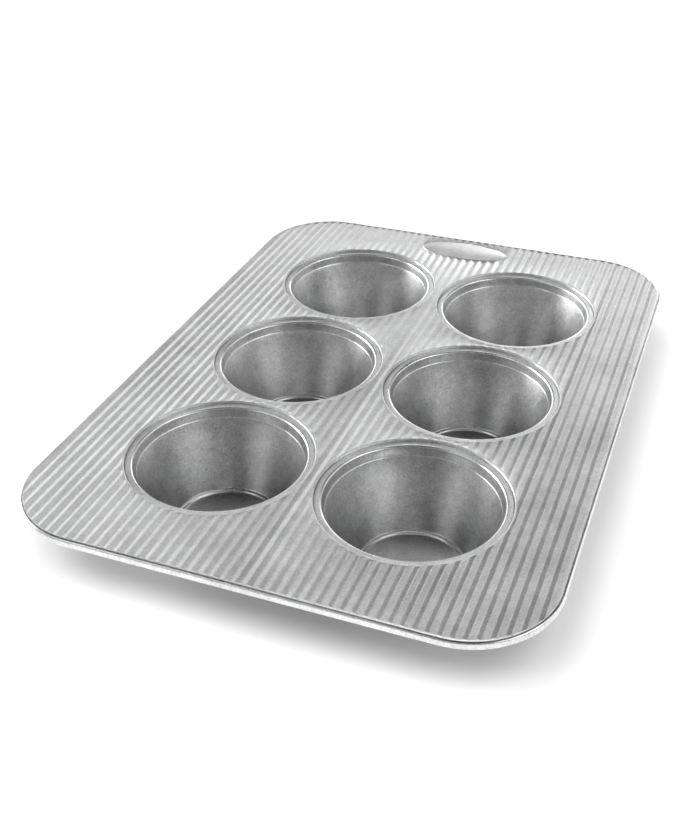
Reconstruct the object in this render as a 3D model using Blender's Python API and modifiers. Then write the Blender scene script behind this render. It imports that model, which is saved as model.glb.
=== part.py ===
"""A jumbo muffin pan: a ribbed steel sheet with a wired hem, and six deep cups locked into its holes.

Metres, +Z up. +X runs across the pan, +Y along its ribs towards the edge with the oval pad.
The pan stands on its cups' bases at Z = 0, with the middle of its outline at X = Y = 0.
"""

import bisect
import math

import bmesh
import bpy
import mathutils

MM = 0.001

# Metal
sheet_gauge = 0.8 * MM
cup_gauge = 0.8 * MM
clearance = 0.3 * MM  # between two pieces that touch on the real pan

# Cup, measured on its inside
mouth_radius = 46.5 * MM
lip_bend = 0.6 * MM  # bend under the rounded lip, between the flange and the neck
flange_width = 2.6 * MM
cup_depth = 45.5 * MM  # from the flange's top to the base
base_radius = 29.7 * MM  # where the line of the wall meets the ledge
base_fillet = 2.5 * MM
base_ledge = 1.2 * MM
base_step = 0.5 * MM  # the flat base lies this far below the ledge
bead_reach = 1.1 * MM  # how far the locking bead is rolled out of the wall
bead_height = 2.2 * MM
neck_spare = 0.6 * MM  # straight neck left between the sheet and the bead

# Places of the cups
columns = 2
rows = 3
web_across = 6.85 * MM  # sheet left between two recesses side by side
web_along = 4.8 * MM
side_margin = 36.0 * MM  # from a recess to the pan's long edge
end_margin = 39.8 * MM  # from a recess to the pan's short edge
corner_radius = 47.0 * MM

# Sheet
recess_depth = 1.6 * MM  # from the top of the sheet down to a cup's flange
groove_pitch = 5.64 * MM
groove_depth = 0.7 * MM
groove_flat = 1.4 * MM  # width of a groove's floor, and of a rib's top
side_band = 2.5 * MM  # the least plain width beside the last groove
border_step = 0.1 * MM  # the plain border stands this little above the ribs
border_flat = 0.4 * MM  # flat metal between the grooves' ends and the hem
hem_bend = 0.8 * MM  # inside bend of the hem
curl_gap = 0.6 * MM  # slot between the hem's end and the sheet above it
wire_diameter = 2.2 * MM

# Bare oval pad at the back edge
pad_width = 62.0 * MM
pad_length = 25.0 * MM
pad_from_edge = 7.6 * MM
pad_rise = 0.3 * MM

# Fineness of the shapes
turn_steps = 24
corner_steps = 5
bend_steps = 2
fillet_steps = 1
oval_steps = 24
slice_reach = 0.05 * MM  # a corner this near to a groove's line counts as lying on it
weld_reach = 0.01 * MM  # two places this near to each other are the same place

# Sizes that follow
mouth_round = cup_gauge + lip_bend
flange_radius = mouth_radius + mouth_round + flange_width
recess_radius = flange_radius + clearance
hole_radius = mouth_radius + cup_gauge + clearance
pitch_across = 2 * recess_radius + web_across
pitch_along = 2 * recess_radius + web_along
pan_width = (columns - 1) * pitch_across + 2 * (recess_radius + side_margin)
pan_length = (rows - 1) * pitch_along + 2 * (recess_radius + end_margin)

flange_top = cup_gauge + cup_depth
seat_top = flange_top - cup_gauge - clearance
sheet_top = flange_top + recess_depth
sheet_underside = sheet_top - groove_depth - sheet_gauge
border_top = sheet_top + border_step
pad_top = sheet_top + pad_rise

hem_round = sheet_gauge + hem_bend
groove_inset = hem_round + sheet_gauge + border_flat  # from the pan's edge to the grooves' ends
wire_radius = wire_diameter / 2
wire_height = sheet_underside - clearance - wire_radius
hem_base = wire_height - wire_radius - clearance - sheet_gauge
hem_width = 2 * (sheet_gauge + clearance + wire_radius)
wire_inset = hem_width / 2
curl_end = sheet_underside - curl_gap

pad_centre = pan_length / 2 - pad_from_edge - pad_length / 2

COLUMN_NAMES = ("left", "right")
ROW_NAMES = ("front", "middle", "back")


def clear_scene():
    """Empty the file, so that the script can be run again in the same window."""
    for thing in list(bpy.data.objects):
        bpy.data.objects.remove(thing)


def new_collection(name):
    group = bpy.data.collections.new(name)
    bpy.context.scene.collection.children.link(group)
    return group


def steel(name, shade, roughness):
    """An aluminised steel finish."""
    finish = bpy.data.materials.new(name)
    finish.use_nodes = True
    shader = finish.node_tree.nodes["Principled BSDF"]
    shader.inputs["Base Color"].default_value = (shade, shade, shade * 0.99, 1.0)
    shader.inputs["Metallic"].default_value = 1.0
    shader.inputs["Roughness"].default_value = roughness
    return finish


def add_piece(name, mesh, group, finish=None):
    thing = bpy.data.objects.new(name, mesh)
    group.objects.link(thing)
    if finish:
        mesh.materials.clear()
        mesh.materials.append(finish)
    return thing


def arc(centre_x, centre_z, radius, start, end, steps):
    """Points on an arc from one angle to another, in degrees, both ends included."""
    points = []
    for step in range(steps + 1):
        angle = math.radians(start + (end - start) * step / steps)
        points.append((centre_x + radius * math.cos(angle), centre_z + radius * math.sin(angle)))
    return points


def circle(centre_x, centre_y, radius, steps):
    return arc(centre_x, centre_y, radius, 0, 360, steps)[:-1]


def ellipse(centre_x, centre_y, half_width, half_length, steps):
    return [(centre_x + x * half_width, centre_y + y * half_length) for x, y in circle(0, 0, 1, steps)]


def pan_outline(inset):
    """The pan's rounded rectangle, moved in from its edge."""
    radius = corner_radius - inset
    x = pan_width / 2 - corner_radius
    y = pan_length / 2 - corner_radius
    points = []
    for corner, (side_x, side_y) in enumerate(((1, 1), (-1, 1), (-1, -1), (1, -1))):
        points += arc(side_x * x, side_y * y, radius, 90 * corner, 90 * corner + 90, corner_steps)
    return points


def cup_places():
    """The name and centre of each cup, from the front left."""
    places = []
    for row in range(rows):
        for column in range(columns):
            x = (column - (columns - 1) / 2) * pitch_across
            y = (row - (rows - 1) / 2) * pitch_along
            places.append((f"{ROW_NAMES[row]}_{COLUMN_NAMES[column]}", x, y))
    return places


def line_mesh(name, points):
    """A chain of edges in the XZ plane, for a Screw modifier."""
    mesh = bpy.data.meshes.new(name)
    edges = [(i, i + 1) for i in range(len(points) - 1)]
    mesh.from_pydata([(x, 0, z) for x, z in points], edges, [])
    return mesh


def add_screw(thing, steps):
    turn = thing.modifiers.new("turn", "SCREW")
    turn.steps = steps
    turn.render_steps = steps
    turn.use_merge_vertices = True
    turn.merge_threshold = weld_reach
    turn.use_smooth_shade = True


def add_thickness(thing, gauge, side):
    """Turn a surface into sheet metal; side is 1 for metal on the face's own side, -1 for behind it."""
    shell = thing.modifiers.new("gauge", "SOLIDIFY")
    shell.thickness = gauge
    shell.offset = side
    shell.use_even_offset = True


def flat_curve(name, loops):
    """A flat curve with one closed straight-sided spline for each loop."""
    curve = bpy.data.curves.new(name, "CURVE")
    curve.dimensions = "2D"
    for loop in loops:
        spline = curve.splines.new("POLY")
        spline.points.add(len(loop) - 1)
        for point, (x, y) in zip(spline.points, loop):
            point.co = (x, y, 0, 1)
        spline.use_cyclic_u = True
    return curve


def mesh_from_curve(name, curve, height, group):
    """The welded mesh of a curve, lifted to a height; the curve object is taken away again."""
    holder = bpy.data.objects.new(name + "_curve", curve)
    holder.location.z = height
    group.objects.link(holder)
    bpy.context.view_layer.update()
    evaluated = holder.evaluated_get(bpy.context.evaluated_depsgraph_get())
    mesh = bpy.data.meshes.new_from_object(evaluated)
    mesh.name = name
    shape = bmesh.new()
    shape.from_mesh(mesh)
    bmesh.ops.remove_doubles(shape, verts=shape.verts, dist=weld_reach)
    bmesh.ops.recalc_face_normals(shape, faces=shape.faces)
    shape.to_mesh(mesh)
    shape.free()
    thing = bpy.data.objects.new(name, mesh)
    thing.matrix_world = holder.matrix_world.copy()
    group.objects.link(thing)
    bpy.data.objects.remove(holder)
    return thing


def cup_profile():
    """The inside line of a cup, from the flange's edge down to the middle of the base."""
    bead_top = -(cup_gauge + clearance + sheet_gauge + clearance + neck_spare)
    bead_base = bead_top - bead_height
    slope_x = mouth_radius - base_radius
    ledge_z = base_step - cup_depth
    slope_z = bead_base - ledge_z
    tilt = math.atan2(slope_x, slope_z)  # of the wall, from upright
    tangent = base_fillet * math.tan((math.pi / 2 - tilt) / 2)
    fillet_x = base_radius - tangent
    fillet_z = ledge_z + base_fillet
    points = [(flange_radius, 0)]
    points += arc(mouth_radius + mouth_round, -mouth_round, mouth_round, 90, 180, bend_steps)
    points.append((mouth_radius, bead_top))
    points.append((mouth_radius + bead_reach, bead_top - bead_height / 2))
    points.append((mouth_radius, bead_base))
    points += arc(fillet_x, fillet_z, base_fillet, -math.degrees(tilt), -90, fillet_steps)
    points.append((fillet_x - base_ledge, ledge_z))
    points.append((fillet_x - base_ledge - base_step, -cup_depth))
    points.append((0, -cup_depth))
    return points


def make_cups(group, parent):
    """Six drawn cups, alike, each standing in its own hole."""
    line = line_mesh("cup_line", cup_profile())
    for name, x, y in cup_places():
        cup = add_piece("cup_" + name, line.copy(), group, steel("cup_" + name, 0.66, 0.33))
        cup.location = (x, y, flange_top)
        cup.parent = parent
        add_screw(cup, turn_steps)
        add_thickness(cup, cup_gauge, 1)
    bpy.data.meshes.remove(line)


def groove_places():
    """The middles of the grooves, evenly to both sides of the pan's middle."""
    count = math.floor((pan_width / 2 - side_band - (groove_pitch - groove_flat) / 2) / groove_pitch)
    return [i * groove_pitch for i in range(-count, count + 1)]


def groove_lines():
    """Each groove's section: four places across it, with the sheet's height there."""
    half_floor = groove_flat / 2
    half_mouth = (groove_pitch - groove_flat) / 2
    lines = []
    for middle in groove_places():
        lines.append((middle - half_mouth, 0.0))
        lines.append((middle - half_floor, -groove_depth))
        lines.append((middle + half_floor, -groove_depth))
        lines.append((middle + half_mouth, 0.0))
    return lines


def height_between(x, lines):
    """The sheet's height at x, on the straight line between the nearest two section places."""
    if x <= lines[0][0] or x >= lines[-1][0]:
        return 0.0
    after = bisect.bisect_right([place for place, _ in lines], x)
    (low_x, low_z), (high_x, high_z) = lines[after - 1], lines[min(after, len(lines) - 1)]
    return low_z + (high_z - low_z) * (x - low_x) / (high_x - low_x) if high_x > low_x else low_z


def pad_oval():
    return ellipse(0, pad_centre, pad_width / 2, pad_length / 2, oval_steps)


def flat_blank(group):
    """The flat sheet inside its border, with the six recesses and the pad's oval left open."""
    loops = [pan_outline(groove_inset), pad_oval()]
    loops += [circle(x, y, recess_radius, turn_steps) for _, x, y in cup_places()]
    curve = flat_curve("blank", loops)
    curve.fill_mode = "FRONT"
    blank = mesh_from_curve("blank", curve, 0, group)
    shape = bmesh.new()
    shape.from_mesh(blank.data)
    bpy.data.objects.remove(blank)
    return shape


def press_grooves(shape):
    """Slice the blank along the grooves' lines, push the metal down, and make each strip one face."""
    lines = groove_lines()
    across = (1, 0, 0)
    for x, _ in lines:
        sheet = shape.verts[:] + shape.edges[:] + shape.faces[:]
        bmesh.ops.bisect_plane(shape, geom=sheet, dist=slice_reach, plane_co=(x, 0, 0), plane_no=across)
    strips = {}
    for face in shape.faces:
        place = bisect.bisect([x for x, _ in lines], face.calc_center_median().x)
        strips.setdefault(place, []).append(face)
    for faces in strips.values():
        bmesh.ops.dissolve_faces(shape, faces=faces, use_verts=False)
    spare = [vert for vert in shape.verts if len(vert.link_edges) == 2 and not vert.is_boundary]
    bmesh.ops.dissolve_verts(shape, verts=spare)
    for vert in shape.verts:
        vert.co.z = height_between(vert.co.x, lines)


def beside(place, centre_x, centre_y, half_width, half_length):
    """Whether a place lies on the rim of an oval opening, or inside it."""
    across = (place.x - centre_x) / (half_width + weld_reach)
    along = (place.y - centre_y) / (half_length + weld_reach)
    return math.hypot(across, along) < 1


def on_seat(place):
    return any(beside(place, x, y, recess_radius, recess_radius) for _, x, y in cup_places())


def on_pad(place):
    return beside(place, 0, pad_centre, pad_width / 2, pad_length / 2)


def open_loop(shape, test):
    """The boundary edges whose two ends pass a test on their places."""
    edges = [edge for edge in shape.edges if edge.is_boundary]
    return [edge for edge in edges if all(test(vert.co) for vert in edge.verts)]


def extrude_loop(shape, edges):
    """Carry a loop on; returns the new loop's edges, still lying on the old one."""
    drawn = bmesh.ops.extrude_edge_only(shape, edges=edges)["geom"]
    return [part for part in drawn if isinstance(part, bmesh.types.BMEdge) and part.is_boundary]


def loop_verts(edges):
    return list({vert for edge in edges for vert in edge.verts})


def wall_to(shape, edges, height, corners):
    """Draw a loop straight up or down to one height, and keep only the outline's own corners there."""
    verts = loop_verts(extrude_loop(shape, edges))
    kept = set()
    for vert in verts:
        vert.co.z = height
        if min((vert.co.xy - mathutils.Vector(corner)).length for corner in corners) < weld_reach:
            kept.add(vert)
    spare = [vert for vert in verts if vert not in kept]
    uprights = [edge for vert in spare for edge in vert.link_edges if not edge.is_boundary]
    bmesh.ops.dissolve_edges(shape, edges=uprights, use_verts=False)
    bmesh.ops.dissolve_verts(shape, verts=spare)
    return [edge for edge in shape.edges if edge.is_boundary and kept.issuperset(edge.verts)]


def press_seats(shape):
    """The recess round each hole: a wall down, and a flat ring that the cup's flange lies on."""
    for _, x, y in cup_places():
        edges = open_loop(shape, lambda place: beside(place, x, y, recess_radius, recess_radius))
        edges = wall_to(shape, edges, seat_top - sheet_top, circle(x, y, recess_radius, turn_steps))
        edges = extrude_loop(shape, edges)
        centre = mathutils.Vector((x, y))
        for vert in loop_verts(edges):
            vert.co.xy = centre + (vert.co.xy - centre) * hole_radius / recess_radius


def press_pad(shape):
    """The bare oval: a low wall up from the ribs, closed by one flat face."""
    edges = wall_to(shape, open_loop(shape, on_pad), pad_top - sheet_top, pad_oval())
    bmesh.ops.contextual_create(shape, geom=edges)


def roll_hem(shape):
    """The plain border and the hem: the outline's loop carried out, down and back under."""
    corners = pan_outline(groove_inset)
    edges = open_loop(shape, lambda place: not on_seat(place) and not on_pad(place))
    edges = wall_to(shape, edges, border_top - sheet_top, corners)
    for inset, height in hem_profile():
        edges = extrude_loop(shape, edges)
        places = pan_outline(inset)
        for vert in loop_verts(edges):
            x, y = places[nearest(corners, vert.co.xy)]
            vert.co = (x, y, height - sheet_top)
        corners = places


def nearest(places, point):
    """The number of the listed place that lies nearest to a point."""
    return min(range(len(places)), key=lambda i: (mathutils.Vector(places[i]) - point).length)


def hem_profile():
    """The outside line of the hem, as distance in from the pan's edge and height."""
    inner = hem_width - hem_round
    points = arc(hem_round, border_top - hem_round, hem_round, 90, 180, bend_steps)
    points += arc(hem_round, hem_base + hem_round, hem_round, 180, 270, bend_steps)
    points += arc(inner, hem_base + hem_round, hem_round, 270, 360, bend_steps)
    points.append((hem_width, curl_end))
    return points


def make_top_sheet(group, parent):
    """One pressing: ribs, seats, pad and hem as a single surface, then its gauge."""
    shape = flat_blank(group)
    press_grooves(shape)
    press_seats(shape)
    press_pad(shape)
    roll_hem(shape)
    bmesh.ops.recalc_face_normals(shape, faces=shape.faces)
    mesh = bpy.data.meshes.new("top_sheet")
    shape.to_mesh(mesh)
    shape.free()
    sheet = add_piece("top_sheet", mesh, group, steel("top_sheet", 0.7, 0.3))
    sheet.location.z = sheet_top
    sheet.parent = parent
    add_thickness(sheet, sheet_gauge, -1)
    return sheet


def make_rim_wire(group, parent):
    """The closed wire loop inside the hem."""
    route = flat_curve("rim_wire", [pan_outline(wire_inset)])
    route.dimensions = "3D"
    route.fill_mode = "FULL"
    route.bevel_depth = wire_radius
    route.bevel_resolution = 2
    route.materials.append(steel("rim_wire", 0.5, 0.4))
    wire = bpy.data.objects.new("rim_wire", route)
    group.objects.link(wire)
    wire.location.z = wire_height
    wire.parent = parent
    return wire


def main():
    clear_scene()
    pan = new_collection("jumbo_muffin_pan")
    stand = bpy.data.objects.new("pan_frame", None)
    pan.objects.link(stand)
    make_top_sheet(pan, stand)
    make_rim_wire(pan, stand)
    make_cups(pan, stand)
    print(f"pan {pan_width / MM:.1f} x {pan_length / MM:.1f} x {pad_top / MM:.1f} mm")


main()
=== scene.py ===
# %% [markdown]
# # A jumbo muffin pan, dressed for the camera
#
# This file is a lesson in cells. A cell of text says what one piece or finish is on the real pan, how it
# could be made in Blender, and why this way was chosen. The code cells after it make that piece.
#
# The real pan is sheet metal: one ribbed steel sheet with a hem rolled round a wire, and six deep cups
# that are locked into its holes. Every length in the file is in metres, and `MM` turns millimetres into
# metres, because sheet metal is easier to think about in millimetres.

import math

import bmesh
import bpy
import numpy as np
from mathutils import Matrix, Vector


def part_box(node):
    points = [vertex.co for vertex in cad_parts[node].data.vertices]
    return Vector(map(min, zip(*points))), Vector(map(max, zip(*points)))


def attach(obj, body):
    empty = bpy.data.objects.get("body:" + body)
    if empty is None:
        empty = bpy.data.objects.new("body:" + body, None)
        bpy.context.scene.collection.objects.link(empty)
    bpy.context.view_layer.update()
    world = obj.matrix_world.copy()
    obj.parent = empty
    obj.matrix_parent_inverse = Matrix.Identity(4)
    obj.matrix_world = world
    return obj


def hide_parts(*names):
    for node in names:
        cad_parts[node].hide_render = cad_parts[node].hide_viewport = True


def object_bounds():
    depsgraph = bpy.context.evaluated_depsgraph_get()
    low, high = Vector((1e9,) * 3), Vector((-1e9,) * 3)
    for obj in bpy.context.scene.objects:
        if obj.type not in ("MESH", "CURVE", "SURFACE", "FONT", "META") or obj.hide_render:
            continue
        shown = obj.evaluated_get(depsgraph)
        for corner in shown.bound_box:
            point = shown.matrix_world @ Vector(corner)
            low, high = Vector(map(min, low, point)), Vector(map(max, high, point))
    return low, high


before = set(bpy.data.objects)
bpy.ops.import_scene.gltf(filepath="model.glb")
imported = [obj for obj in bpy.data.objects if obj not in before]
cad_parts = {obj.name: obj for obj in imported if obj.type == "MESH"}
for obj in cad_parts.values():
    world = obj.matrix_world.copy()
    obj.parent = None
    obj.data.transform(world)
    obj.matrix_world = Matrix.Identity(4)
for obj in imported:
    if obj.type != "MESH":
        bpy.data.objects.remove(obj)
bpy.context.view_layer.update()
MM = 0.001
print("pieces in the frame:", ", ".join(sorted(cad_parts)))

# %% [markdown]
# ## Sizes read from the frame
#
# The frame holds the pan's plain solids at their real size. Reading the big sizes from it, and not
# typing them again, keeps the fine surfaces on the solids that they stand for. Only what a box can't
# tell, such as a gauge or a bend, is typed in, in the cell that needs it first.

# %% Sizes read from the frame
sheet_low, sheet_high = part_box("top_sheet")
cup_low, cup_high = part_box("cup_front_left")

pan_width = sheet_high.x - sheet_low.x
pan_length = sheet_high.y - sheet_low.y
pad_top = sheet_high.z
hem_base = sheet_low.z
flange_radius = (cup_high.x - cup_low.x) / 2
flange_top = cup_high.z

cup_centres = {}
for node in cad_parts:
    if node.startswith("cup_"):
        low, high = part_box(node)
        cup_centres[node] = ((low.x + high.x) / 2, (low.y + high.y) / 2)

column_place = max(x for x, y in cup_centres.values())
row_places = sorted({round(y, 5) for x, y in cup_centres.values()})
print(f"pan {pan_width / MM:.1f} x {pan_length / MM:.1f} mm, flange radius {flange_radius / MM:.1f} mm")
print("rows at", [f"{y / MM:.1f}" for y in row_places], "columns at", f"+-{column_place / MM:.1f} mm")

# %% [markdown]
# ## The outline as a formula
#
# The real sheet is a rectangle with round corners, whose edge is rolled under. It could be cut out of a
# flat plane, but a cut leaves long thin triangles, which spoil smooth shading. Here the outline is a
# formula that says how far the pan reaches at any place across it. Moved in by the border's width, the
# same formula says where the ribbed face ends and the hem begins.

# %% The outline
corner_radius = 47.0 * MM
border_inset = 1.85 * MM


def half_length_at(x, inset):
    """Half the length, at a place across it, of the pan's rounded rectangle moved in from its edge."""
    radius = corner_radius - inset
    over = np.maximum(np.abs(x) - (pan_width / 2 - corner_radius), 0.0)
    return pan_length / 2 - corner_radius + np.sqrt(np.maximum(radius ** 2 - over ** 2, 0.0))


print(f"along its middle the ribbed face is {2 * half_length_at(0.0, border_inset) / MM:.1f} mm long")

# %% [markdown]
# ## The sheet's shape as a formula
#
# The ribs are the same all along the pan, so one formula of the place across it gives their height. Their
# flanks are straight and turn over in small bends, so light falls on them in even stripes. Each rib leans
# a little, which makes its left flank the wider one. The grooves fade out over the last millimetre before
# the border and are shallower beside the seats. The oval pad rises a little above the ribs and has a fine
# line pressed round it. A displaced grid could look much the same, but a formula keeps each rib true, and
# with arrays it gives thousands of heights in one call.

# %% Ribs across the sheet
groove_pitch = 5.64 * MM
groove_depth = 0.68 * MM
groove_count = 24  # to each side of the middle one
groove_floor = 0.05 * MM  # from a groove's middle to the foot of its flank
groove_mouth = 2.77 * MM  # from a groove's middle to the top of its flank
groove_lean = 0.27 * MM
flank_stretch = 2.0 * groove_lean / groove_pitch
flank_rounding = 0.15  # share of a flank that each of its bends takes


def straight_ramp(t):
    """0 below 0, 1 above 1, and between them a straight flank with both its ends rounded."""
    t = np.clip(t, 0.0, 1.0)
    turned = np.minimum(t, 1.0 - t)
    bend = turned ** 2 / (2.0 * flank_rounding)
    flank = turned - flank_rounding / 2.0
    end = np.where(turned < flank_rounding, bend, flank) / (1.0 - flank_rounding)
    return np.where(t < 0.5, end, 1.0 - end)


def groove_at(x):
    """How deep the ribbing lies below the sheet's top at a place across the pan."""
    number = np.clip(np.round(x / groove_pitch), -groove_count, groove_count)
    off = x - number * groove_pitch + groove_lean
    off = np.abs(off) / (1.0 + np.sign(off) * flank_stretch)
    return groove_depth * straight_ramp((groove_mouth - off) / (groove_mouth - groove_floor))


print(f"a groove is {float(groove_at(-groove_lean)) / MM:.2f} mm deep in its middle")

# %% Distances to the pad and to the seats
clearance = 0.3 * MM
recess_radius = flange_radius + clearance
rim_bend = 0.9 * MM
pad_half_width = 31.0 * MM
pad_half_length = 12.5 * MM
pad_centre = pan_length / 2 - 20.1 * MM


def pad_distance(x, y):
    """Distance from the pad's oval outline, negative inside it."""
    along = y - pad_centre
    reach = np.hypot(x / pad_half_width, along / pad_half_length)
    slope = np.hypot(x / pad_half_width ** 2, along / pad_half_length ** 2)
    return np.where(reach < 0.5, -pad_half_length, reach * (reach - 1.0) / np.maximum(slope, 1.0))


def seat_distance(x, y):
    """Distance from the rim of the nearest seat."""
    rows_off = [np.abs(y - place) for place in row_places]
    return np.hypot(np.abs(x) - column_place, np.minimum.reduce(rows_off)) - recess_radius - rim_bend


print(f"the pan's middle is {seat_distance(0.0, 0.0) / MM:.1f} mm from the nearest seat's rim")

# %% Height of the pressed sheet
pad_rise = 0.3 * MM
pad_wall = 0.5 * MM
pad_line_half = 0.7 * MM
pad_line_depth = 0.3 * MM
sheet_top = pad_top - pad_rise
border_rise = 0.03 * MM
groove_fade = 0.9 * MM
border_fade = 0.3 * groove_fade
rim_groove = 0.35  # share of their depth that the grooves keep beside a seat
rim_fade = 1.5 * MM


def smooth_ramp(t):
    """0 below 0, 1 above 1, and a soft rise between."""
    t = np.clip(t, 0.0, 1.0)
    return t * t * (3.0 - 2.0 * t)


def sheet_height(x, y):
    """Height of the sheet's upper face, apart from the seats."""
    to_edge = half_length_at(x, border_inset) - np.abs(y)
    to_side = pan_width / 2 - border_inset - np.abs(x)
    by_seat = rim_groove + (1.0 - rim_groove) * smooth_ramp(seat_distance(x, y) / rim_fade)
    grooves = groove_at(x) * smooth_ramp(to_edge / groove_fade) * by_seat
    border = border_rise * (1.0 - smooth_ramp(np.minimum(to_edge, to_side) / border_fade))
    from_line = pad_distance(x, y)
    pad = smooth_ramp(0.5 - from_line / pad_wall)
    line = pad_line_depth * np.maximum(1.0 - (from_line / pad_line_half) ** 2, 0.0) ** 2
    plain = sheet_top + border - grooves
    return plain * (1.0 - pad) + pad_top * pad - line


print(f"the ribs' tops lie at {sheet_top / MM:.1f} mm and the pad at {pad_top / MM:.1f} mm")

# %% [markdown]
# ## A net of lines that fits the holes
#
# A plain square grid would give the round holes saw teeth. Here every line along the pan has its own
# stops: where it meets a hole's rim, the pad's outline or the border, there is a vertex exactly on it.
# A line that passes beside a hole has both stops in one place, and those vertices are merged later.
# The lines stand where the ribs bend, and close together where a rim runs along them.

# %% Lines along the pan
flank_stops = [0.16 * MM, 0.46 * MM, 1.41 * MM, 2.36 * MM, 2.66 * MM]  # from a groove's middle
rim_degrees = (0.0, 2.5, 5.0, 7.5, 10.0, 12.5)  # round a rim, from its outermost place
least_gap = 0.04 * MM
slack = 0.0001 * MM


def rib_lines():
    """Places on both flanks of every groove, at their bends and in their middles."""
    return [number * groove_pitch - groove_lean + side * off * (1 + side * flank_stretch)
            for number in range(-groove_count, groove_count + 1)
            for off in flank_stops for side in (-1, 1)]


def rim_lines():
    """Places close together where the rim of a seat, the pad or a corner runs along the pan."""
    seat_rim = recess_radius + rim_bend
    rounds = [(column_place, seat_rim), (column_place, seat_rim + 0.4 * rim_fade),
              (0.0, pad_half_width - 0.5 * pad_wall), (0.0, pad_half_width + 0.5 * pad_wall),
              (pan_width / 2 - corner_radius, corner_radius - border_inset)]
    reaches = [(centre, radius * math.cos(math.radians(turn)))
               for centre, radius in rounds for turn in rim_degrees]
    return [side * (centre + way * reach)
            for centre, reach in reaches for side in (-1, 1) for way in (-1, 1)]


def line_places():
    """Where the lines that run along the pan stand, across it."""
    limit = pan_width / 2 - border_inset + slack
    places = sorted(place for place in [0.0] + rib_lines() + rim_lines() if abs(place) <= limit)
    kept = [places[0]]
    for place in places[1:-1]:
        if place - kept[-1] > least_gap and places[-1] - place > least_gap:
            kept.append(place)
    return np.array(kept + [places[-1]])


lines = line_places()
print(len(lines), "lines along the pan")

# %% Rows of stops across the pan
fade_shares = (0.0, 0.13, 0.28, 0.46, 0.66, 0.86, 1.0, 1.25)  # of groove_fade, in from the border
ring_shares = (0.9, 0.65, 0.4, 0.2, 0.0)  # of rim_fade, out from a seat's rim
wall_shares = (1.5, 1.0, 0.5, 0.17, -0.17, -0.5, -1.0, -1.5)  # of pad_wall, out from the pad's outline


def half_chord(x, centre, radius):
    """Half of a line's stretch inside a circle, and 0 where the line passes beside it."""
    return np.sqrt(np.maximum(radius ** 2 - (np.abs(x) - centre) ** 2, 0.0))


def seat_rows(x):
    """Rows that close in on the holes' rims from both sides; 'hole' marks where a hole starts."""
    seat_rim = recess_radius + rim_bend
    rings = [half_chord(x, column_place, seat_rim + rim_fade * share) for share in ring_shares]
    found = []
    for y in row_places:
        found += [("sheet", y - ring) for ring in rings[:-1]] + [("hole", y - rings[-1])]
        found += [("sheet", y + ring) for ring in rings[::-1]]
    return found


def pad_rows(x):
    """Rows on both sides of the pad, each on an oval beside its outline."""
    ovals = [pad_wall * share for share in wall_shares]
    found = []
    for side, widths in ((-1, ovals), (1, ovals[::-1])):
        for extra in widths:
            share = np.clip(np.abs(x) / (pad_half_width + extra), 0.0, 1.0)
            half = (pad_half_length + extra) * np.sqrt(1.0 - share ** 2)
            found.append(("sheet", pad_centre + side * half))
    return found


def stops_along(x):
    """Rows of stops from the front border to the back one."""
    edge = half_length_at(x, border_inset)
    fades = [groove_fade * share for share in fade_shares]
    within = edge - fades[-1]
    front = [("sheet", off - edge) for off in fades]
    between = [(kind, np.clip(y, -within, within)) for kind, y in seat_rows(x) + pad_rows(x)]
    back = [("sheet", edge - off) for off in fades[::-1]]
    return front + between + back


rows = stops_along(lines)
print(len(rows), "rows of stops across the pan")

# %% [markdown]
# ## From the net to one pressed surface
#
# The net's vertices go into a bmesh, which is Blender's editable mesh. The sunk seat round each hole and
# the rolled hem are then drawn from the net's open rims, loop after loop, each loop being a copy of the
# last that is moved in or out and down. It is much as a press draws metal, and it keeps the quads in
# neat rows, so that smooth shading follows the bends.

# %% The net, and helpers for drawing loops
def net_in_bmesh(shape):
    """The net's vertices row by row, and its quads, with the holes left open."""
    grid = []
    for _, y in rows:
        z = sheet_height(lines, y)
        grid.append([shape.verts.new(place) for place in zip(lines, y, z)])
    for r in range(len(rows) - 1):
        if rows[r][0] == "hole":
            continue
        for c in range(len(lines) - 1):
            shape.faces.new((grid[r][c], grid[r][c + 1], grid[r + 1][c + 1], grid[r + 1][c]))
    return grid


def add_loop(shape, loop, places):
    """Carry a ring of vertices on to new places, with a band of quads between."""
    fresh = [shape.verts.new(place) for place in places]
    for i in range(len(loop)):
        j = (i + 1) % len(loop)
        shape.faces.new((loop[i], loop[j], fresh[j], fresh[i]))
    return fresh


def quarter(start, end, steps):
    """Angles from one to another, without the first; degrees go in and radians come out."""
    return [math.radians(start + (end - start) * k / steps) for k in range(1, steps + 1)]


print("a bend in six steps turns to", [round(math.degrees(a)) for a in quarter(0, 90, 6)], "degrees")

# %% [markdown]
# ## The sunk seats
#
# Each cup hangs by its flange in a shallow recess round its hole. The press bends the ribs down into the
# recess, so its rim follows their waves while its floor is flat. Drawing it from the hole's rim in the
# net gives just that: each loop is smaller than the last, and takes its share of the drop from wherever
# its line started.

# %% Draw the seats
gauge = 0.8 * MM
seat_bend = 0.3 * MM
seat_top = flange_top - gauge - clearance
hole_radius = 47.6 * MM
hole_margin = 0.2 * MM


def seat_profile():
    """The recess, from the bend at its rim to the hole: radius, and share of the whole drop."""
    drop = sheet_top - seat_top
    points = [(recess_radius + rim_bend * (1 - math.sin(a)), rim_bend * (1 - math.cos(a)) / drop)
              for a in quarter(0, 90, 6)]
    points += [(recess_radius - seat_bend * (1 - math.cos(a)), 1 - seat_bend * (1 - math.sin(a)) / drop)
               for a in quarter(0, 90, 3)]
    return points + [(hole_radius + hole_margin, 1.0), (hole_radius, 1.0)]


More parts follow.
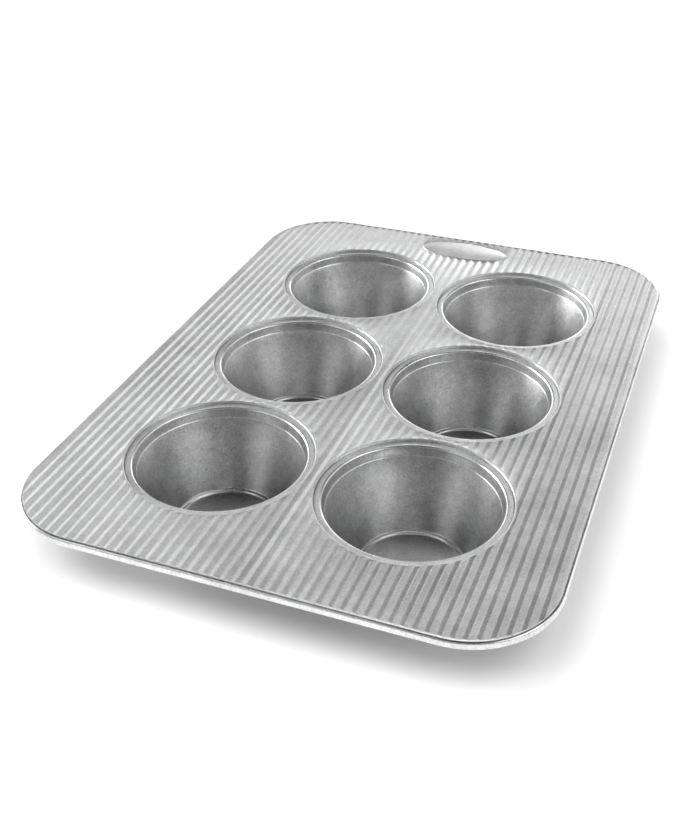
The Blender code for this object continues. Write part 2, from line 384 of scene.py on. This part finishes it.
def draw_seats(shape, grid):
    """The recess round each hole, drawn down from the hole's rim in the net."""
    hole_rows = [r for r, (kind, _) in enumerate(rows) if kind == "hole"]
    near = np.abs(np.abs(lines) - column_place) <= recess_radius + rim_bend + slack
    for r, centre_y in zip(hole_rows, row_places):
        for side in (-1, 1):
            centre = Vector((side * column_place, centre_y))
            here = np.nonzero(near & (np.sign(lines) == side))[0]
            loop = [grid[r][c] for c in here] + [grid[r + 1][c] for c in here[-2:0:-1]]
            tops = [vert.co.z for vert in loop]
            ways = [(vert.co.xy - centre).normalized() for vert in loop]
            for radius, share in seat_profile():
                places = [(*(centre + way * radius), top + (seat_top - top) * share)
                          for way, top in zip(ways, tops)]
                loop = add_loop(shape, loop, places)


print(f"the seats lie {(sheet_top - seat_top) / MM:.1f} mm below the ribs' tops")

# %% [markdown]
# ## The rolled hem
#
# The cut edge of a sheet is sharp and weak, so the real pan's edge is rolled under round a wire. Rolling
# bends the metal bit by bit and leaves small dents, so a clean sweep would look like a machined part.
# Here the hem is a section, carried out and under from the net's outer rim in loops, and four sine waves
# of unlike lengths dent it round the outline. Their sum has no pattern that the eye can find.

# %% The hem's section
hem_lead = 0.1 * MM
hem_top_bend = 1.6 * MM
hem_under_bend = 2.0 * MM
hem_width = 4.4 * MM
hem_dent = 0.12 * MM
curl_end = 45.8 * MM
ripple_waves = ((61, 0.4), (97, 1.9), (149, 3.1), (233, 5.0))  # waves round the pan, and phase


def hem_profile():
    """The hem's outer line: distance in from the pan's edge, height, and share of its dents."""
    top = sheet_top + border_rise
    points = [(hem_top_bend + hem_lead, top, 0.0)]
    points += [(hem_top_bend * (1 - math.sin(a)), top - hem_top_bend * (1 - math.cos(a)), 0.0)
               for a in quarter(0, 90, 6)]
    start, end = top - hem_top_bend, hem_base + hem_under_bend
    points += [(0.0, start + (end - start) * share, share) for share in (0.25, 0.5, 0.75, 1.0)]
    points += [(hem_under_bend * (1 - math.cos(a)), hem_base + hem_under_bend * (1 - math.sin(a)), 1.0)
               for a in quarter(0, 90, 6)]
    points += [(hem_width - hem_under_bend * (1 - math.sin(a)),
                hem_base + hem_under_bend * (1 - math.cos(a)), 0.5)
               for a in [0.0] + quarter(0, 90, 4)]
    return points + [(hem_width, curl_end, 0.0)]


def hem_ripple(x, y):
    """How far the hem is dented at a place on the outline, between 0 and 1."""
    along = math.atan2(y, x)
    waves = sum(math.sin(count * along + phase) for count, phase in ripple_waves)
    return 0.5 + waves / (2 * len(ripple_waves))


print("the hem's section has", len(hem_profile()), "points")

# %% Roll the hem
def outward(x, y):
    """The direction straight out through the pan's outline, at a place on its border."""
    over_x = abs(x) - (pan_width / 2 - corner_radius)
    over_y = abs(y) - (pan_length / 2 - corner_radius)
    if over_x > 0 and over_y > 0:
        return Vector((math.copysign(over_x, x), math.copysign(over_y, y))).normalized()
    if over_x > 0:
        return Vector((math.copysign(1.0, x), 0.0))
    return Vector((0.0, math.copysign(1.0, y)))


def roll_hem(shape, grid):
    """The border and the hem, drawn out and under from the net's outer rim."""
    right_rim = [row[-1] for row in grid[1:-1]]
    left_rim = [row[0] for row in grid[-2:0:-1]]
    loop = grid[0] + right_rim + grid[-1][::-1] + left_rim
    starts = [(vert.co.xy.copy(), outward(vert.co.x, vert.co.y)) for vert in loop]
    for inset, height, dents in hem_profile():
        places = [(*(place + way * (border_inset - inset - dents * hem_dent * hem_ripple(*place))), height)
                  for place, way in starts]
        loop = add_loop(shape, loop, places)


corner_way = outward(pan_width / 2 - corner_radius / 2, pan_length / 2 - corner_radius / 2)
print("out through a corner is the direction", [round(v, 2) for v in corner_way])

# %% The whole surface
weld_distance = 0.002 * MM


def make_sheet():
    """The net, the seats and the hem as one open surface that faces up."""
    shape = bmesh.new()
    grid = net_in_bmesh(shape)
    draw_seats(shape, grid)
    roll_hem(shape, grid)
    bmesh.ops.remove_doubles(shape, verts=shape.verts, dist=weld_distance)
    bmesh.ops.recalc_face_normals(shape, faces=shape.faces)
    highest = max(shape.faces, key=lambda face: face.calc_center_median().z)
    if highest.normal.z < 0:
        bmesh.ops.reverse_faces(shape, faces=shape.faces)
    mesh = bpy.data.meshes.new("ribbed_sheet")
    shape.to_mesh(mesh)
    shape.free()
    return mesh


def add_piece(name, mesh, slot, *nodes):
    """Show a mesh as a piece that rides on the pan and stands for its plain solids."""
    piece = bpy.data.objects.new(name, mesh)
    bpy.context.scene.collection.objects.link(piece)
    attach(piece, "root")
    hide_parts(*nodes)
    return piece


sheet = add_piece("ribbed_sheet", make_sheet(), "sheet_steel", "top_sheet")
print("surface:", len(sheet.data.vertices), "vertices,", len(sheet.data.polygons), "faces")

# %% [markdown]
# ## Gauge
#
# So far the sheet has no thickness, and a real one has the same gauge everywhere. The Solidify modifier
# lays a second surface one gauge under the first and closes the two at the holes' edges and at the end
# of the curl. Its result is kept as the mesh, because the faces of the hem are then marked for a finish
# of their own: the rolls that made the hem have rubbed it smoother than the rest.

# %% Give the sheet its gauge
sharp_edge = math.radians(50)
hem_mark_inset = 1.75 * MM  # just outside the net, whose rim lies border_inset in


def shade_metal(mesh):
    """Shade a skin of sheet metal smooth, but for its cut edges."""
    mesh.shade_smooth()
    mesh.set_sharp_from_angle(angle=sharp_edge)


def give_gauge(piece, side):
    """Turn a surface into sheet metal of the right gauge; side -1 puts the new skin under it."""
    shell = piece.modifiers.new("gauge", "SOLIDIFY")
    shell.thickness = gauge
    shell.offset = side
    shell.use_even_offset = True
    graph = bpy.context.evaluated_depsgraph_get()
    solid = bpy.data.meshes.new_from_object(piece.evaluated_get(graph))
    piece.modifiers.clear()
    piece.data = solid
    shade_metal(solid)


def mark_hem(mesh):
    """Give the rolled hem, all that lies outside the net, the second material."""
    centres = np.zeros(3 * len(mesh.polygons))
    mesh.polygons.foreach_get("center", centres)
    x, y, _ = np.abs(centres.reshape(-1, 3).T)
    outside = (x > pan_width / 2 - hem_mark_inset) | (y > half_length_at(x, hem_mark_inset))
    mesh.polygons.foreach_set("material_index", outside.astype(np.int32))


give_gauge(sheet, -1)
mark_hem(sheet.data)
print("sheet:", len(sheet.data.vertices), "vertices,", len(sheet.data.polygons), "faces")

# %% [markdown]
# ## Six drawn cups
#
# A deep-drawn cup is a turned shape, so one line from the flange to the middle of the base, spun round
# with the Screw modifier, gives its inside. The neck leans in less than the wall under it, which shows
# as a band of another shade under the mouth. At the foot a small fillet leads to a narrow ledge, and
# from there a shallow step goes down to the flat bottom that the pan stands on.

# %% The cup's mouth and neck
mouth_radius = 46.5 * MM
mouth_round = 1.4 * MM
neck_tilt = math.radians(18)
neck_depth = 5.1 * MM
flange_edge = [(flange_radius - 0.12 * MM, -0.04 * MM), (flange_radius - 0.35 * MM, 0.0)]


def mouth_line():
    """The flange's edge, the bend at the mouth and the neck, as radius and height under the flange's top."""
    points = flange_edge + [
        (mouth_radius + mouth_round * (1 - math.sin(a)), -mouth_round * (1 - math.cos(a)))
        for a in [0.0] + quarter(0, 90 - math.degrees(neck_tilt), 8)]
    start_x, start_z = points[-1]
    for k in range(1, 4):
        z = start_z + (-neck_depth - start_z) * k / 3
        points.append((start_x + (z - start_z) * math.tan(neck_tilt), z))
    return points


print(f"the neck ends {mouth_line()[-1][0] / MM:.1f} mm from the cup's middle")

# %% The cup's wall and base
base_radius = 29.7 * MM
base_fillet = 0.9 * MM
base_ledge = 1.0 * MM
base_step = 0.7 * MM
flat_margin = 1.5 * MM
neck_step = 0.12 * MM
neck_turn = 0.6 * MM
cup_depth = flange_top - gauge
ledge_z = base_step - cup_depth


def turn_line(neck_x):
    """The small step in, where the neck turns into the wall."""
    tilt = math.atan2(neck_x - base_radius, -neck_depth - ledge_z)
    return [(neck_x - neck_step * float(smooth_ramp(share)) - neck_turn * share * math.tan(tilt),
             -neck_depth - neck_turn * share) for share in np.linspace(0, 1, 7)[1:]]


def wall_line(wall_x, wall_z):
    """The tapered wall and the fillet at its foot."""
    tilt = math.atan2(wall_x - base_radius, wall_z - ledge_z)
    fillet_x = base_radius - base_fillet * math.tan((math.pi / 2 - tilt) / 2)
    foot_x = fillet_x + base_fillet * math.cos(tilt)
    foot_z = ledge_z + base_fillet * (1 - math.sin(tilt))
    points = [(wall_x + (foot_x - wall_x) * k / 6, wall_z + (foot_z - wall_z) * k / 6) for k in range(1, 6)]
    for k in range(8):
        a = -tilt + (-math.pi / 2 + tilt) * k / 7
        points.append((fillet_x + base_fillet * math.cos(a), ledge_z + base_fillet * (1 + math.sin(a))))
    return points


def base_line(fillet_x):
    """The ledge, the step down from it and the flat bottom, as far as the cup's axis."""
    inner = fillet_x - base_ledge
    points = [(inner - 0.9 * base_step * share, ledge_z - base_step * float(smooth_ramp(share)))
              for share in (0.0, 0.25, 0.5, 0.75, 1.0)]
    return points + [(inner - flat_margin, -cup_depth), (inner / 2, -cup_depth), (0.0, -cup_depth)]


inside = mouth_line()
inside += turn_line(inside[-1][0])
inside += wall_line(*inside[-1])
inside += base_line(inside[-1][0])
print("the cup's inner line has", len(inside), "points")

# %% [markdown]
# ## The cup's outside and its bead
#
# The outside is the inner line moved out by the gauge. It also has the bead that is rolled out under the
# sheet, and on the real pan locks the cup in its hole. The two lines end on the cup's axis and meet at
# the flange's edge, so spinning them round gives one closed skin, with no need for Solidify.

# %% The cup's outer line
bead_top = 2.2 * MM
bead_height = 2.6 * MM
bead_reach = 1.1 * MM
bead_points = 9
bead_margin = 0.1 * MM


def outer_line(inner):
    """The inner line moved out by the gauge, with the locking bead under the sheet."""
    line = np.array(inner)
    along = np.gradient(line, axis=0)
    along /= np.hypot(along[:, 0], along[:, 1])[:, None]
    outer = line + gauge * np.stack([-along[:, 1], along[:, 0]], axis=1)
    outer[0] = (line[0][0], -gauge)
    depth = bead_top + bead_height * np.linspace(0, 1, bead_points)
    swell = bead_reach * np.sin(np.linspace(0, math.pi, bead_points)) ** 2
    bead = list(zip(np.interp(depth, -outer[:, 1], outer[:, 0]) + swell, -depth))
    above = [tuple(point) for point in outer if point[1] > -depth[0] + bead_margin]
    below = [tuple(point) for point in outer if point[1] < -depth[-1] - bead_margin]
    return above + bead + below


outside = outer_line(inside)
print(f"the bead reaches {max(x for x, z in outside if z < -bead_top) / MM:.1f} mm from the cup's middle")

# %% Spin the cup
cup_steps = 128
axis_merge = 0.01 * MM


def turned_mesh(name, lines, steps):
    """Spin lines that end on the Z axis round it, into one closed skin."""
    points = lines[0] + lines[1][::-1]
    edges = [(i, (i + 1) % len(points)) for i in range(len(points)) if i != len(lines[0]) - 1]
    mesh = bpy.data.meshes.new(name)
    mesh.from_pydata([(x, 0.0, z) for x, z in points], edges, [])
    holder = bpy.data.objects.new(name, mesh)
    bpy.context.scene.collection.objects.link(holder)
    turn = holder.modifiers.new("turn", "SCREW")
    turn.steps = steps
    turn.render_steps = steps
    turn.use_merge_vertices = True
    turn.merge_threshold = axis_merge
    graph = bpy.context.evaluated_depsgraph_get()
    turned = bpy.data.meshes.new_from_object(holder.evaluated_get(graph))
    bpy.data.objects.remove(holder)
    shape = bmesh.new()
    shape.from_mesh(turned)
    bmesh.ops.recalc_face_normals(shape, faces=shape.faces)
    shape.to_mesh(turned)
    shape.free()
    shade_metal(turned)
    return turned


cup_mesh = turned_mesh("cup_skin", [inside, outside], cup_steps)
print("a cup has", len(cup_mesh.vertices), "vertices")

# %% [markdown]
# ## Six of them, with their rubbed bends painted paler
#
# The punch and the die rub the steel where it bends over them, so the bend at the mouth and the whole
# base are smoother than the wall. They are also given a much paler shade than the wall, which is a painted
# highlight. The flange lies among the ribs and takes the sheet's paler steel, so that it looks like them,
# while the cups' darker steel, which is painted shade, stays on the walls. Faces are picked for this by
# where they lie and which way they face, which is simpler than drawing a mask, and it is done once, before
# the skin is copied to the six places.

# %% Mark the bends and place the cups
# lowest and highest place, and least and most distance from the cup's middle
rubbed_highlit_mouth = (-mouth_round, 0.05 * MM, mouth_radius - mouth_round, mouth_radius + mouth_round)
rubbed_highlit_base = (-cup_depth - gauge / 2, ledge_z + base_fillet, 0.0, base_radius + base_fillet)


def mark_bends(mesh):
    """Give the rubbed mouth and base the second material, whose paler shade is a painted highlight, and the
    flange the third, the sheet's paler steel.
    """
    for face in mesh.polygons:
        radius = math.hypot(face.center.x, face.center.y)
        rubbed = any(lowest < face.center.z < highest and least < radius < most
                     for lowest, highest, least, most in (rubbed_highlit_mouth, rubbed_highlit_base))
        # upward faces of the rubbed mouth and base: smoother, and painted paler as a highlight
        if rubbed and face.normal.z > 0.05:
            face.material_index = 1
        # the flange's top takes the sheet's paler steel in place of the cups' painted shade
        elif face.normal.z > 0.5 and radius > mouth_radius + mouth_round:
            face.material_index = 2


mark_bends(cup_mesh)
cups = []
for node, (x, y) in sorted(cup_centres.items()):
    mesh = cup_mesh.copy()
    mesh.transform(Matrix.Translation((x, y, flange_top)))
    cups.append(add_piece("drawn_" + node, mesh, "cup_steel", node))
low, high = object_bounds()
print("cups:", len(cups), "and shown box in mm:", [round(v / MM, 2) for v in (*low, *high)])

# %% [markdown]
# ## The grain of satin steel
#
# The metal is steel with a thin aluminium coat. It has no polish lines: rolling and drawing leave a fine
# mottled grain, about a millimetre across, that breaks up every reflection. Colour noise alone would look
# painted on, so one node group gives three things from the same noise: a slight change of shade, a change
# of roughness and a height for the Bump node. Each material places the group with its own values.

# %% Helpers for shader nodes
def new_group(name, inputs, outputs):
    """A shader node group with named sockets; its inputs are plain numbers."""
    group = bpy.data.node_groups.new(name, "ShaderNodeTree")
    for label, value in inputs:
        socket = group.interface.new_socket(label, in_out="INPUT", socket_type="NodeSocketFloat")
        socket.default_value = value
    for label, kind in outputs:
        group.interface.new_socket(label, in_out="OUTPUT", socket_type=kind)
    source = group.nodes.new("NodeGroupInput")
    sink = group.nodes.new("NodeGroupOutput")
    return group, source, sink


def noise(group, vector, scale, detail, roughness):
    """A Noise Texture node; the scale is in bumps per metre."""
    node = group.nodes.new("ShaderNodeTexNoise")
    node.inputs["Scale"].default_value = scale
    node.inputs["Detail"].default_value = detail
    node.inputs["Roughness"].default_value = roughness
    group.links.new(vector, node.inputs["Vector"])
    return node.outputs["Fac"]


def stretch(group, value, low, high, to_low, to_high):
    """Spread a value from one range on to another."""
    node = group.nodes.new("ShaderNodeMapRange")
    group.links.new(value, node.inputs["Value"])
    for label, number in (("From Min", low), ("From Max", high), ("To Min", to_low), ("To Max", to_high)):
        node.inputs[label].default_value = number
    return node.outputs["Result"]


def combine(group, operation, first, second):
    """A Math node; each side is a socket or a number."""
    node = group.nodes.new("ShaderNodeMath")
    node.operation = operation
    for socket, value in zip(node.inputs, (first, second)):
        if isinstance(value, (int, float)):
            socket.default_value = value
        else:
            group.links.new(value, socket)
    return node.outputs["Value"]


print("helpers ready: a group, a noise, a range and a sum")

# %% A node group for the grain
noise_low = 0.3  # nearly all of a noise lies between these two
noise_high = 0.7
fine_share = 0.65
steel_tint = (("Red", 0.992), ("Green", 1.0), ("Blue", 0.996))


def swing(group, value, reach):
    """Turn a noise into a change about zero, which goes this far to both sides."""
    return stretch(group, value, noise_low, noise_high, -reach, reach)


def grain_group():
    """Satin steel's shade, roughness and height, all from the same grain."""
    group, source, sink = new_group(
        "Satin grain",
        [("Shade", 0.72), ("Contrast", 1.0), ("Roughness", 0.33)],
        [("Color", "NodeSocketColor"), ("Roughness", "NodeSocketFloat"), ("Height", "NodeSocketFloat")])
    place = group.nodes.new("ShaderNodeTexCoord").outputs["Object"]
    fine = noise(group, place, scale=900, detail=3, roughness=0.6)
    coarse = noise(group, place, scale=220, detail=4, roughness=0.55)
    cloud = noise(group, place, scale=28, detail=3, roughness=0.5)
    specks = noise(group, place, scale=620, detail=1, roughness=0.3)
    fine = combine(group, "MULTIPLY", fine, fine_share)
    coarse = combine(group, "MULTIPLY", coarse, 1.0 - fine_share)
    mottle = combine(group, "ADD", fine, coarse)

    change = combine(group, "ADD", swing(group, mottle, 0.045), swing(group, cloud, 0.02))
    change = combine(group, "MULTIPLY", change, source.outputs["Contrast"])
    shade = combine(group, "ADD", source.outputs["Shade"], change)
    shade = combine(group, "MULTIPLY", shade, stretch(group, specks, 0.80, 0.86, 1.0, 0.6))
    colour = group.nodes.new("ShaderNodeCombineColor")
    for label, share in steel_tint:
        group.links.new(combine(group, "MULTIPLY", shade, share), colour.inputs[label])

    rough = combine(group, "ADD", source.outputs["Roughness"], swing(group, mottle, 0.03))
    rough = combine(group, "ADD", rough, swing(group, cloud, 0.03))
    group.links.new(colour.outputs["Color"], sink.inputs["Color"])
    group.links.new(rough, sink.inputs["Roughness"])
    group.links.new(mottle, sink.inputs["Height"])
    return group


grain = grain_group()
print("group:", grain.name, "with", len(grain.nodes), "nodes")

# %% [markdown]
# ## One steel in five finishes
#
# All the pan's metal is the same steel, worked in different ways, so one function makes every finish and
# only its numbers differ. The sheet is pale and quite rough. The cups' steel is much darker, which is
# painted shade for the deep insides of the cups, and they have a clear release coat, which is a coat on the
# shader and gives a second, sharper reflection. The hem and the rubbed bends are the smoothest, and a
# strong bump there would break into black specks, so theirs is weak. The rubbed bends are also as pale as
# the sheet, which is a painted highlight against the darker cups. The wire is hidden in the hem and keeps
# its solid.

# %% The steel materials
coat_roughness = 0.19
coat_ior = 2.0
grain_height = 0.05 * MM


def steel(name, shade, contrast, roughness, bump, coat):
    """A satin steel: the grain group drives the colour, the roughness and a fine bump."""
    finish = bpy.data.materials.new(name)
    finish.use_nodes = True
    tree = finish.node_tree
    shader = tree.nodes["Principled BSDF"]
    shader.inputs["Metallic"].default_value = 1.0
    shader.inputs["Coat Weight"].default_value = coat
    shader.inputs["Coat Roughness"].default_value = coat_roughness
    shader.inputs["Coat IOR"].default_value = coat_ior
    placed = tree.nodes.new("ShaderNodeGroup")
    placed.node_tree = grain
    placed.inputs["Shade"].default_value = shade
    placed.inputs["Contrast"].default_value = contrast
    placed.inputs["Roughness"].default_value = roughness
    raise_node = tree.nodes.new("ShaderNodeBump")
    raise_node.inputs["Strength"].default_value = bump
    raise_node.inputs["Distance"].default_value = grain_height
    tree.links.new(placed.outputs["Color"], shader.inputs["Base Color"])
    tree.links.new(placed.outputs["Roughness"], shader.inputs["Roughness"])
    tree.links.new(placed.outputs["Height"], raise_node.inputs["Height"])
    tree.links.new(raise_node.outputs["Normal"], shader.inputs["Normal"])
    return finish


sheet_steel = steel("ribbed_sheet_steel", shade=0.77, contrast=3.6, roughness=0.45, bump=1.0, coat=0.0)
# the cups' dark shade is painted shade for their deep insides; the coat is a real second reflection
cup_steel = steel("drawn_cup_steel", shade=0.54, contrast=4.2, roughness=0.38, bump=0.9, coat=0.9)
wire_steel = steel("hem_wire_steel", shade=0.5, contrast=1.0, roughness=0.4, bump=0.4, coat=0.0)
rolled_steel = steel("rolled_hem_steel", shade=0.80, contrast=4.5, roughness=0.31, bump=0.35, coat=0.0)
# the rubbed bends' pale shade is a painted highlight; their low roughness is their own
rubbed_highlight_steel = steel("rubbed_bend_highlight_steel", shade=0.80, contrast=3.0, roughness=0.30, bump=0.15, coat=0.0)
finishes = [sheet_steel, cup_steel, wire_steel, rolled_steel, rubbed_highlight_steel]
print("finishes:", ", ".join(finish.name for finish in finishes))

# %% Dress the pieces
def dress(piece, *materials):
    """Put materials into a piece's slots; its faces keep their slot numbers."""
    slots = piece.data.materials
    for number, material in enumerate(materials):
        if number < len(slots):
            slots[number] = material
        else:
            slots.append(material)


dress(sheet, sheet_steel, rolled_steel)
for cup in cups:
    dress(cup, cup_steel, rubbed_highlight_steel, sheet_steel)
dress(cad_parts["rim_wire"], wire_steel)
print("dressed:", sheet.name, "and", len(cups), "cups and the wire")

# %% [markdown]
# ## The camera
#
# The camera stands at the front right of the pan, above it, and looks down at about 34 degrees. Its place
# is written in the pan's own frame. A rotation matrix is built from the way it looks, with a small roll.

# %% Set the camera
eye = Vector((183.5, -528.2, 392.9)) * MM
aim = Vector((-1.3, -50.7, 46.3)) * MM
roll = math.radians(-0.6)
focal_length = 47.41  # in millimetres, as a lens is marked

forward = (aim - eye).normalized()
right = forward.cross(Vector((0, 0, 1))).normalized()
up = right.cross(forward)
side = math.cos(roll) * right + math.sin(roll) * up
top = math.cos(roll) * up - math.sin(roll) * right

lens = bpy.data.cameras.new("camera")
lens.lens = focal_length
camera = bpy.data.objects.new("camera", lens)
bpy.context.scene.collection.objects.link(camera)
camera.matrix_world = Matrix.Translation(eye) @ Matrix((side, top, -forward)).transposed().to_4x4()
bpy.context.scene.camera = camera
print("camera at", [round(v, 3) for v in camera.location])

# %% [markdown]
# ## The paper on the floor
#
# The pan stands on white paper that runs out to the horizon. The paper's own colour is a pale grey, which
# the lamps of the next step bring up to white. It also glows a little for the camera and for mirrors, so
# that it is as white in the metal as in the picture. The Light Path node picks out those kinds of ray.

# %% The paper
floor_reach = 12.0
floor_drop = 0.5 * MM  # keeps the paper clear of the cups' bottoms
floor_shade = 0.6
floor_roughness = 0.9
floor_glow = 0.05

floor_mesh = bpy.data.meshes.new("floor")
floor_corners = [(x * floor_reach, y * floor_reach, 0) for x, y in ((-1, -1), (1, -1), (1, 1), (-1, 1))]
floor_mesh.from_pydata(floor_corners, [], [(0, 1, 2, 3)])
floor = bpy.data.objects.new("floor", floor_mesh)
floor.location.z = -floor_drop
bpy.context.scene.collection.objects.link(floor)

paper = bpy.data.materials.new("floor_paper")
paper.use_nodes = True
tree = paper.node_tree
shader = tree.nodes["Principled BSDF"]
shader.inputs["Base Color"].default_value = (floor_shade, floor_shade, floor_shade, 1)
shader.inputs["Roughness"].default_value = floor_roughness
shader.inputs["Emission Color"].default_value = (1.0, 1.0, 1.0, 1)
rays = tree.nodes.new("ShaderNodeLightPath")
seen = combine(tree, "MAXIMUM", rays.outputs["Is Camera Ray"], rays.outputs["Is Glossy Ray"])
seen = combine(tree, "MAXIMUM", seen, rays.outputs["Is Transmission Ray"])
tree.links.new(combine(tree, "MULTIPLY", seen, floor_glow), shader.inputs["Emission Strength"])
dress(floor, paper)
print("paper:", 2 * floor_reach, "m across, with a shade of", floor_shade)

# %% [markdown]
# ## Three soft lamps
#
# Two wide lamps, high up in front of the pan to its left and right, draw the soft shadow that peeps out
# under the front hem and the right edge. Light linking keeps them to the paper, because in steel they
# would show as a glare that the studio doesn't have. A third, weak one stands low on the left and lights
# the cups alone, whose right walls glow near the mouth. Sun lamps suit all three: a wide angle makes
# their shadows soft, and their distance doesn't matter.

# %% The lamps
def direction(azimuth, elevation):
    """Azimuth 0 is straight back along +Y, and grows to the right; both in degrees."""
    a, e = math.radians(azimuth), math.radians(elevation)
    return Vector((math.sin(a) * math.cos(e), math.cos(a) * math.cos(e), math.sin(e)))


def soft_lamp(name, azimuth, elevation, strength, spread, pieces):
    """A wide, far lamp that lights some pieces and no others."""
    lamp = bpy.data.lights.new(name, "SUN")
    lamp.energy = strength
    lamp.angle = math.radians(spread)
    holder = bpy.data.objects.new(name, lamp)
    bpy.context.scene.collection.objects.link(holder)
    holder.location = direction(azimuth, elevation)
    holder.rotation_mode = "QUATERNION"
    holder.rotation_quaternion = (-holder.location).to_track_quat("-Z", "Y")
    lit = bpy.data.collections.new("lit_by_" + name)
    for piece in pieces:
        lit.objects.link(piece)
    holder.light_linking.receiver_collection = lit


soft_lamp("left_lamp", azimuth=-162.0, elevation=60.0, strength=2.3, spread=24.0, pieces=[floor])
soft_lamp("right_lamp", azimuth=145.0, elevation=60.0, strength=2.3, spread=24.0, pieces=[floor])
soft_lamp("cup_lamp", azimuth=-84.0, elevation=24.0, strength=1.5, spread=26.0, pieces=cups)
print("lamps:", ", ".join(lamp.name for lamp in bpy.data.lights))

# %% [markdown]
# ## The studio round the pan
#
# Satin metal shows its surroundings more than its own colour, so the light is mostly about what stands
# round the pan. Area lamps could stand there, but their sharp edges would show in the metal. The world
# shader holds ten soft panels in fixed directions instead. Each is a product of two smooth ramps, one
# over the azimuth and one over the elevation, so its edges melt away like those of a lamp behind silk.
# One of them is a wide and faint front wall, without which the pan would be dark from behind. For the
# camera alone the whole sky is plain white, like the paper.

# %% A panel in the world
world = bpy.data.worlds.new("studio")
bpy.context.scene.world = world
world.use_nodes = True
sky = world.node_tree
facing = sky.nodes.new("ShaderNodeSeparateXYZ")
sky.links.new(sky.nodes.new("ShaderNodeTexCoord").outputs["Generated"], facing.inputs["Vector"])
to_degrees = 180 / math.pi
sky_turn = combine(sky, "ARCTAN2", facing.outputs["X"], facing.outputs["Y"])
sky_turn = combine(sky, "MULTIPLY", sky_turn, to_degrees)
sky_height = combine(sky, "MULTIPLY", combine(sky, "ARCSINE", facing.outputs["Z"], 0.0), to_degrees)


def soft_edge(off, half, softness):
    """1 up to half a panel's size from its middle, and 0 past its soft edge."""
    ramp = sky.nodes.new("ShaderNodeMapRange")
    ramp.interpolation_type = "SMOOTHSTEP"
    sky.links.new(off, ramp.inputs["Value"])
    limits = (("From Min", half), ("From Max", half + softness), ("To Min", 1.0), ("To Max", 0.0))
    for label, number in limits:
        ramp.inputs[label].default_value = number
    return ramp.outputs["Result"]


def panel(azimuth, elevation, half_wide, half_high, soft_wide, soft_high, strength):
    """A soft panel of light; all its places and sizes are in degrees."""
    turn = combine(sky, "WRAP", combine(sky, "SUBTRACT", sky_turn, azimuth), 180.0)
    turn.node.inputs[2].default_value = -180.0
    lift = combine(sky, "SUBTRACT", sky_height, elevation)
    across = soft_edge(combine(sky, "ABSOLUTE", turn, 0.0), half_wide, soft_wide)
    upright = soft_edge(combine(sky, "ABSOLUTE", lift, 0.0), half_high, soft_high)
    return combine(sky, "MULTIPLY", combine(sky, "MULTIPLY", across, upright), strength)


print("the world measures directions with", len(sky.nodes), "nodes")

# %% The ten panels
# azimuth, elevation, half its width and height, softness of its sides and ends, strength
panels = {
    "left window": (-84, 21, 7, 6, 21, 8, 6.0),
    "left floor": (-92, 8, 5, 7, 19, 6, 3.2),
    "back left wall": (-42, 13, 12, 6, 13, 6, 2.15),
    "back window": (-3, 18, 6, 4, 13, 7, 4.3),
    "back left ceiling": (-28, 62, 4, 5, 13, 17, 1.8),
    "back ceiling": (-7, 64, 5, 5, 12, 12, 2.9),
    "right window": (95, 32, 13, 10, 26, 6, 2.7),
    "right wall": (50, 10, 12, 6, 18, 10, 1.5),
    "front left": (-136, 40, 6, 3, 20, 7, 2.7),
    "front wall": (180, 25, 40, 6, 40, 10, 0.5),
}
light = 0.0
for place in panels.values():
    light = combine(sky, "ADD", light, panel(*place))
seen = sky.nodes.new("ShaderNodeLightPath").outputs["Is Camera Ray"]
unseen = combine(sky, "SUBTRACT", 1.0, seen)
light = combine(sky, "ADD", seen, combine(sky, "MULTIPLY", light, unseen))
sky.links.new(light, sky.nodes["Background"].inputs["Strength"])
sky.nodes["Background"].inputs["Color"].default_value = (1, 1, 1, 1)
bpy.context.scene.view_settings.view_transform = "Standard"
print(len(panels), "panels:", ", ".join(panels))
